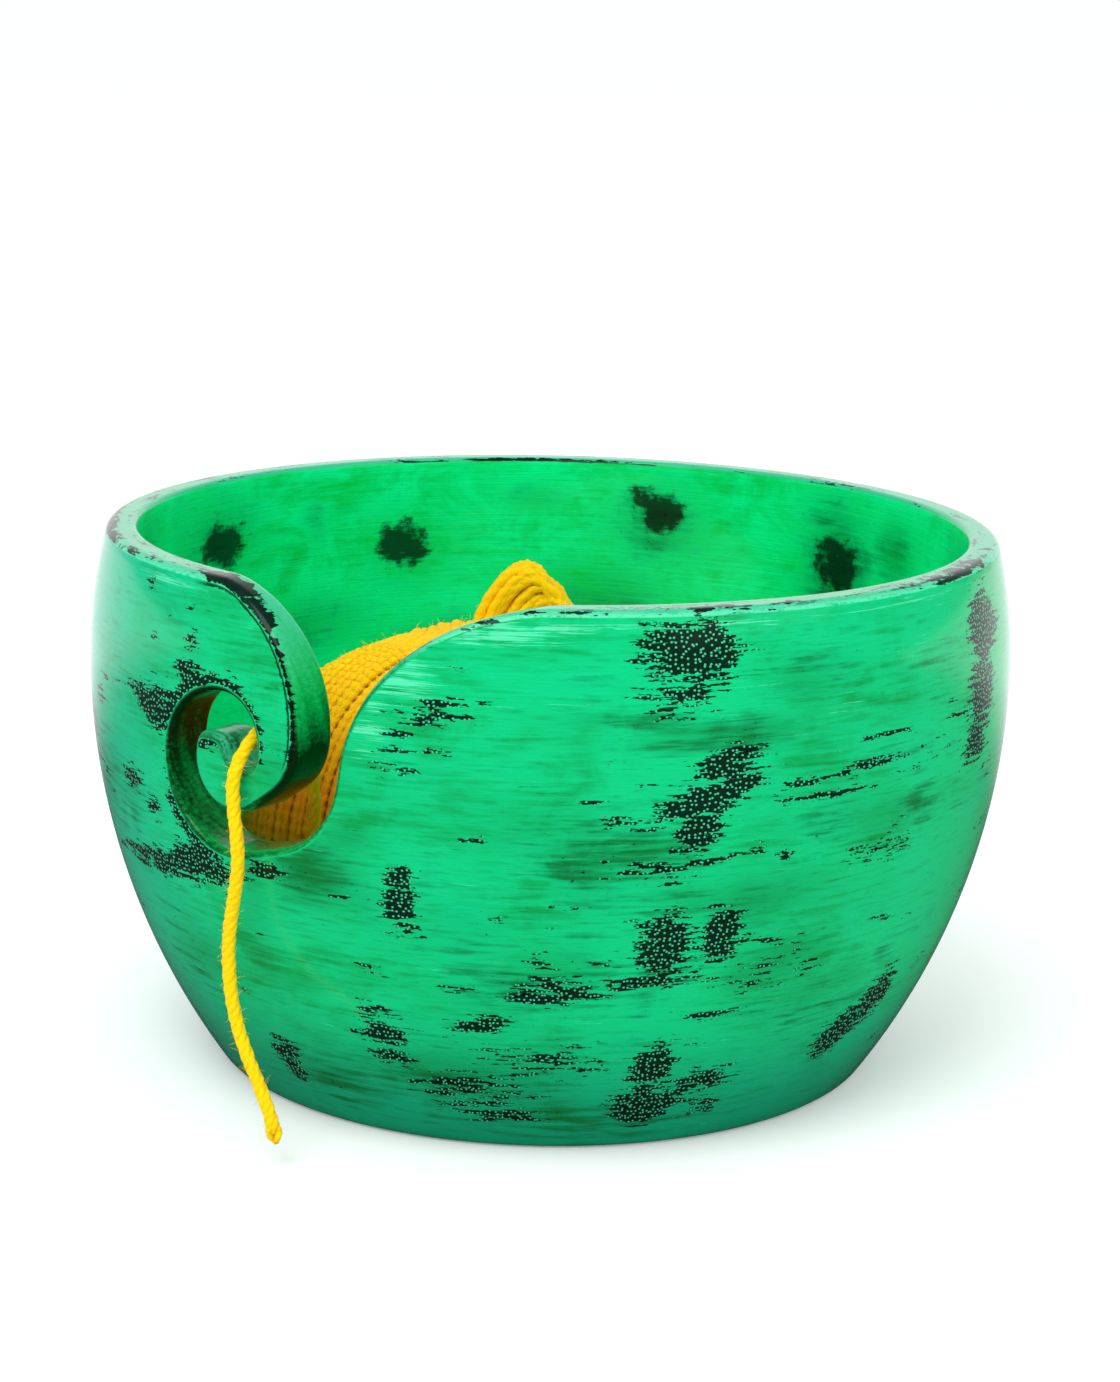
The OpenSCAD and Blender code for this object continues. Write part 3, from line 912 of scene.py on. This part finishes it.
def add_stain(obj, rng):
    """Attributes that say where the stain is dark, pale, thick or rubbed off an edge, and where an
    edge gets a painted highlight.
    """
    mesh = obj.data
    count = len(mesh.vertices)
    co = np.empty(count * 3)
    mesh.vertices.foreach_get("co", co)
    co = co.reshape(-1, 3) / MM
    lip = np.empty(count)
    mesh.attributes["lip"].data.foreach_get("value", lip)
    azimuth = np.degrees(np.arctan2(co[:, 0], -co[:, 1]))
    z = co[:, 2]
    outside, inside = lip < 0.06, lip > 0.94
    marks = OUTER_PATCHES + back_patches(rng) + loose_dashes(rng)
    dark = np.where(outside, field(azimuth, z, marks), 0)
    dark = np.where(inside & (z > FLOOR_Z + 4), field(azimuth, z, INNER_PATCHES), dark)
    pale = np.where(outside, field(azimuth, z, PALE_STROKES, 0.35), 0)
    smudge = np.where(outside, field(azimuth, z, SMUDGES, 0.5), 0)
    smudge = np.where(inside, field(azimuth, z, INNER_SMUDGES, 0.5), smudge)

    az, inner_az, loop_z, _ = edge_loop()
    gap = np.full(count, 30.0)
    for side, edge in ((outside, on_wall(az, loop_z, outer_r(loop_z))),
                       (inside, on_wall(inner_az, loop_z, inner_r(loop_z)))):
        near = np.flatnonzero(side & (z > 40))
        for part in np.array_split(near, 60):
            distance = np.linalg.norm(co[part][:, None, :] - edge[None, :, :], axis=2).min(axis=1)
            gap[part] = np.minimum(30, distance)
    gap[~outside & ~inside] = 0

    in_front = outside & (co[:, 1] < 0)
    for ((x, height), radius), start, end, width, strength in EDGE_BANDS:
        angle = (np.degrees(np.arctan2(z - height, co[:, 0] - x)) + 90) % 360 - 90
        from_arc = np.hypot(co[:, 0] - x, z - height) - radius
        window = smoothstep(start - 4, start + 4, angle) * smoothstep(end + 4, end - 4, angle)
        band = strength * window / (1 + np.exp((from_arc / width - 1) / 0.3))
        dark = np.where(in_front & (from_arc > -1), np.maximum(dark, band), dark)

    # The hook's arris, from the rim down to its widest place: a dark band and a pale line, the
    # pale line partly worn and partly a painted highlight
    (hook_x, hook_z), hook_r = HOOK
    hook_angle = np.degrees(np.arctan2(z - hook_z, co[:, 0] - hook_x))
    hook_gap = hook_r - np.hypot(co[:, 0] - hook_x, z - hook_z)
    arris = np.where(in_front & (np.abs(hook_gap) < 6), 1, 0) * smoothstep(-22, -10, hook_angle)
    arris = arris * smoothstep(100, 85, hook_angle)

    # Overlapping coats: each starts at an azimuth and is a little lighter or darker
    starts = [12, 43, 59, 84, 118, 150, 178, 214, 247, 281, 310, 338]
    tones = [0.55, 0.75, 0.55, 0.7, 0.5, 0.7, 0.45, 0.65, 0.5, 0.6, 0.6, 0.54]
    around = azimuth % 360
    tone = np.full(count, tones[-1])
    for start, value, before in zip(starts, tones, [tones[-1]] + tones[:-1]):
        tone += (value - before) * smoothstep(start - 2, start + 2, around)
    for az, side, half_az, half_side, strength in RIM_STREAKS:
        reach = np.hypot(((azimuth - az + 180) % 360 - 180) / half_az, (lip - side) / half_side)
        streak = np.where((z > 97) & ~outside & ~inside, strength / (1 + np.exp((reach - 1) / 0.3)), 0)
        dark = np.maximum(dark, streak)
    hooked = smoothstep(-30, -5, hook_angle) * smoothstep(110, 90, hook_angle)
    near_hook = np.where(~outside & ~inside & (np.abs(hook_gap) < 2) & (co[:, 0] > -12), hooked, 0)
    dark = np.maximum(dark, near_hook / (1 + np.exp((lip - 0.14) / 0.035)))

    add_attributes(mesh, {"dark": dark, "pale": pale, "gap": gap, "tone": tone,
                          "smudge": smudge, "arris": arris})


GREEN = srgb(0, 196, 122)
DEEP_GREEN = srgb(0, 146, 68)
# Painted light: the brighter, bluer teal of the bowl's left side
PAINTED_LEFT_TEAL = srgb(0, 186, 150)
# Painted shade: the darker teal towards the foot
FOOT_SHADE_TEAL = srgb(0, 138, 106)
SMUDGE_GREEN = srgb(0, 92, 18)
MINT = srgb(96, 226, 178)
RIM_PALE = srgb(56, 184, 136)
INSIDE_GREEN = srgb(0, 240, 148)
INSIDE_DEEP = srgb(0, 196, 80)
CUT_GREEN = srgb(0, 172, 78)
CUT_DARK = srgb(0, 38, 4)
NEAR_BLACK = srgb(0, 16, 12)
DOT_GREEN = srgb(70, 190, 140)


# The pores that show pale in the dark patches: how many a radian round the bowl and a metre up
PORES_AROUND = 88
PORES_UP = 1150


def lacquered_wood():
    """Green-stained wood with brushed streaks, dark rubbed patches with pale pores, pale edges
    that are partly worn and partly a painted highlight, and a clear gloss lacquer; some painted
    light and shade is in the colour too."""
    s = Shader("lacquered_wood")
    lip, dark, pale, smudge = (s.attribute(name) for name in ("lip", "dark", "pale", "smudge"))
    gap, tone, cut, arris = (s.attribute(name) for name in ("gap", "tone", "cut", "arris"))
    x, y, z = s.parts(s.at)

    broad = s.noise((28, 28, 70), 3, 0.55)
    clouds = s.noise((55, 55, 75), 4, 0.65, 0.6)
    brush = s.noise((70, 70, 900), 3, 0.6, 0.2)
    streak = s.noise((170, 170, 1300), 3, 0.65)
    scratch = s.noise((60, 60, 2600), 3, 0.7, 0.3)
    speck = s.noise((900, 900, 1500), 2, 0.6)
    blot = s.noise((240, 240, 240), 4, 0.65)
    rubbed = s.noise(s.join(x * 70, y * 70, z * 70 + lip * 5.5), 3, 0.7)
    inside = s.step(lip, 0.9, 0.96)
    on_cut = s.step(lip, 0.04, 0.12) * s.step(lip, 0.96, 0.88)

    # Outside colour: deep to bright green with the coats' tone; at the left a teal that is partly
    # random tone and partly painted light on that side; painted shade towards the foot
    level = broad * 0.9 + brush * 1.2 + clouds * 1.2 + tone
    outer = s.mix(s.step(level, 0.0, 0.75), DEEP_GREEN, GREEN)
    # The left side is painted brighter and bluer (painted light), mixed with random teal clouds
    painted_light_left = s.step(x, 0.0, -0.06, 0.0, 0.9) * s.step(y, 0.05, -0.02, 0.25, 1.0)
    painted_teal_share = s.math("MULTIPLY", painted_light_left + clouds * 0.9, 1.0, clamp=True)
    outer = s.mix(painted_teal_share, outer, PAINTED_LEFT_TEAL)
    # Darker teal towards the foot, below 34 mm: painted shade
    outer = s.mix(s.step(z, 0.034, 0.004, 0.0, 0.8) + brush * 0.2, outer, FOOT_SHADE_TEAL)
    pale_level = pale + scratch * 1.7 + streak * 0.6
    outer = s.mix(s.step(pale_level, 0.55, 0.8) * 0.7, outer, MINT)

    # Inside colour: brighter
    inner = s.mix(s.step(clouds * 1.6 + brush * 0.5, -0.45, 0.3), INSIDE_DEEP, INSIDE_GREEN)
    colour = s.mix(inside, outer, inner)

    # Clouds of deeper stain, brushed out along the turning, then pale marks, dark lines and pits
    brushed = brush * s.step(inside, 0.0, 1.0, 1.6, 0.6)
    smudged = s.step(smudge + brushed + clouds * 1.4, 0.15, 0.95)
    colour = s.mix(smudged * 0.85, colour, SMUDGE_GREEN)
    marks = s.step(scratch + speck * 0.25 + broad * 0.5, 0.2, 0.34)
    colour = s.mix(marks * s.step(inside, 0.0, 1.0, 0.42, 0.2), colour, MINT)
    lines = s.step(scratch + speck * 0.3 + clouds * 0.5, -0.15, -0.3)
    colour = s.mix(lines * s.step(inside, 0.0, 1.0, 0.6, 0.22), colour, SMUDGE_GREEN)
    pits = s.step(speck + clouds * 0.5 + smudge * 0.14, 0.29, 0.36)
    colour = s.mix(pits * 0.8, colour, NEAR_BLACK)

    # Cut faces: worn pale on the rim, darker down in the spiral and where they turn down, partly
    # stain and partly painted shade
    cut_level = cut + rubbed * 0.6 + speck * 0.35
    cut_colour = s.mix(s.step(cut_level, 0.1, 0.6), RIM_PALE, CUT_GREEN)
    cut_colour = s.mix(s.step(cut_level, 0.48, 0.88), cut_colour, CUT_DARK)
    rim_dark = s.step(rubbed + speck * 0.35, 0.07, 0.13) * s.step(cut, 0.35, 0.1)
    cut_colour = s.mix(rim_dark * 0.9, cut_colour, NEAR_BLACK)
    colour = s.mix(on_cut, colour, cut_colour)

    # Edges: a thin dark line, and on the hook's arris a pale line inside a ragged dark band;
    # the pale line there and along the rim is partly wear and partly a painted highlight
    at_edge = s.step(lip, 0.3, 0.0)
    edge = s.step(gap, 0.8, 0.1) * s.step(rubbed + speck * 0.8, -0.3, 0.1)
    edge = edge * at_edge * s.step(arris, 0.6, 0.2)
    colour = s.mix(edge * s.step(z, 0.0985, 0.094, 0.0, 0.75), colour, CUT_DARK)
    wander = gap + rubbed * 3.0 + speck * 0.7
    band = s.step(wander, 1.1, 1.3) * s.step(wander, 2.0, 1.8) * arris
    colour = s.mix(band * at_edge * 0.9, colour, NEAR_BLACK)
    # Pale along the hook's arris and the rim's edges: partly wear, partly painted highlight
    worn_and_highlight = s.step(gap, 1.0, 0.3) * s.step(rubbed + speck * 0.6, -0.2, 0.0)
    worn_and_highlight = worn_and_highlight * at_edge * s.math("MAXIMUM", arris, s.step(z, 0.094, 0.0985))
    colour = s.mix(worn_and_highlight * 0.85, colour, MINT)

    # Dark patches: ragged and brushed outside, with pale pores, and softer inside
    ragged = streak * 2.0 + speck * 0.6
    patch = s.step(dark + ragged, 0.47, 0.53) * s.step(dark, 0.08, 0.2)
    around = s.math("ARCTAN2", x, y * -1.0)
    inputs = {"Vector": s.join(around * PORES_AROUND, z * PORES_UP), "Scale": 1.0, "Randomness": 0.8}
    to_pore = s.made("ShaderNodeTexVoronoi", inputs, "Distance", voronoi_dimensions="2D")
    pore = s.step(to_pore, 0.27, 0.15) * s.step(lip, 0.1, 0.03)
    soft_patch = s.step(dark + blot * 1.3 + ragged * 0.3, 0.3, 0.68)
    share = s.mix(inside, patch, soft_patch * 0.95, "FLOAT")
    colour = s.mix(share * 0.97, colour, s.mix(pore, NEAR_BLACK, DOT_GREEN))

    relief = scratch * 0.8 + speck * 0.25 + patch * -0.25
    s.surface({"Base Color": colour, "Roughness": s.step(streak, -0.4, 0.4, 0.36, 0.55),
               "Specular IOR Level": 0.05, "Coat Weight": 1.0, "Coat Roughness": 0.12,
               "Coat IOR": 1.25, "Normal": s.bump(relief, 0.35)})
    return s.material


def make_bowl():
    points, faces, lip, dark = bowl_shape()
    # cut: the cut face's darkness, partly stain and partly painted shade
    bowl = make_mesh("bowl_shell", points, faces, {"lip": lip, "cut": dark})
    work = bmesh.new()
    work.from_mesh(bowl.data)
    bmesh.ops.remove_doubles(work, verts=work.verts, dist=WELD * MM)
    bmesh.ops.recalc_face_normals(work, faces=work.faces)
    work.to_mesh(bowl.data)
    work.free()
    add_stain(bowl, np.random.default_rng(SEED + 3))
    finished(bowl, "bowl", lacquered_wood())
    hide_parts("bowl")


make_bowl()
hank_yarn = yarn_material("hank_yarn", srgb(255, 210, 0), srgb(255, 190, 0),
                          srgb(255, 194, 0), PAINTED_SHADE_YELLOW)
# The core's deeper yellow is painted shade between the hank's strands
hank_core_painted_shade_yarn = yarn_material("hank_core_painted_shade_yarn", srgb(255, 186, 0), srgb(255, 172, 0),
                               srgb(255, 176, 0), srgb(250, 136, 0))
make_hank(hank_yarn, hank_core_painted_shade_yarn)
make_end_loops(hank_yarn)

# ---- floor and light

# The level way from the camera past the bowl
BEHIND = -direction(VIEW_AZIMUTH, 0)
FLOOR_HALF = 30000
SURROUND_LIGHT = 0.92


def make_floor():
    """A pale floor that glows a little to the camera; what the lacquer mirrors of it is dark in
    front of the bowl and glows behind it, a painted reflection.
    """
    corners = [(x * FLOOR_HALF, y * FLOOR_HALF, 0) for x, y in ((-1, -1), (1, -1), (1, 1), (-1, 1))]
    floor = make_mesh("floor", corners, [(0, 1, 2, 3)], {})
    s = Shader("pale_floor")
    mirrored = s.rays("Is Glossy Ray")
    behind = s.step(s.dot(s.at, BEHIND), 0.12, 0.35)
    in_front = mirrored * (behind * -1.0 + 1.0)
    glow_and_painted_reflection = s.rays("Is Camera Ray") * 0.2 + mirrored * behind * 0.3
    s.surface({"Base Color": s.mix(in_front, (0.86, 0.88, 0.89, 1), (0.08, 0.08, 0.08, 1)),
               "Roughness": 0.8, "Specular IOR Level": 0.0, "Emission Color": (1, 1, 1, 1),
               "Emission Strength": glow_and_painted_reflection})
    floor.data.materials.append(s.material)


def area_light(name, azimuth, elevation, distance, size, power):
    """A soft square light that looks at the bowl."""
    way = direction(azimuth, elevation)
    data = bpy.data.lights.new(name, "AREA")
    data.size = size
    data.energy = power
    light = bpy.data.objects.new(name, data)
    light.location = way * distance + Vector((0, 0, 0.05))
    light.rotation_euler = way.to_track_quat("Z", "Y").to_euler()
    scene.collection.objects.link(light)


def make_world():
    """A white surround; what the lacquer mirrors of it is bright only behind the bowl."""
    world = bpy.data.worlds.new("studio")
    world.use_nodes = True
    s = Nodes(world.node_tree)
    mirrored = s.step(s.dot(s.place("Generated"), BEHIND), 0.55, 0.95, 0.03, 1.1)
    lit = s.mix(s.rays("Is Glossy Ray"), SURROUND_LIGHT, mirrored, "FLOAT")
    background = world.node_tree.nodes["Background"]
    background.inputs["Color"].default_value = (1, 1, 1, 1)
    s.put(background.inputs["Strength"], s.mix(s.rays("Is Camera Ray"), lit, 1.0, "FLOAT"))
    scene.world = world


make_floor()
make_world()
area_light("key", VIEW_AZIMUTH - 25, 55, distance=1.4, size=0.8, power=9)
area_light("fill", VIEW_AZIMUTH + 50, 35, distance=1.5, size=1.2, power=3)
scene.view_settings.view_transform = "Standard"
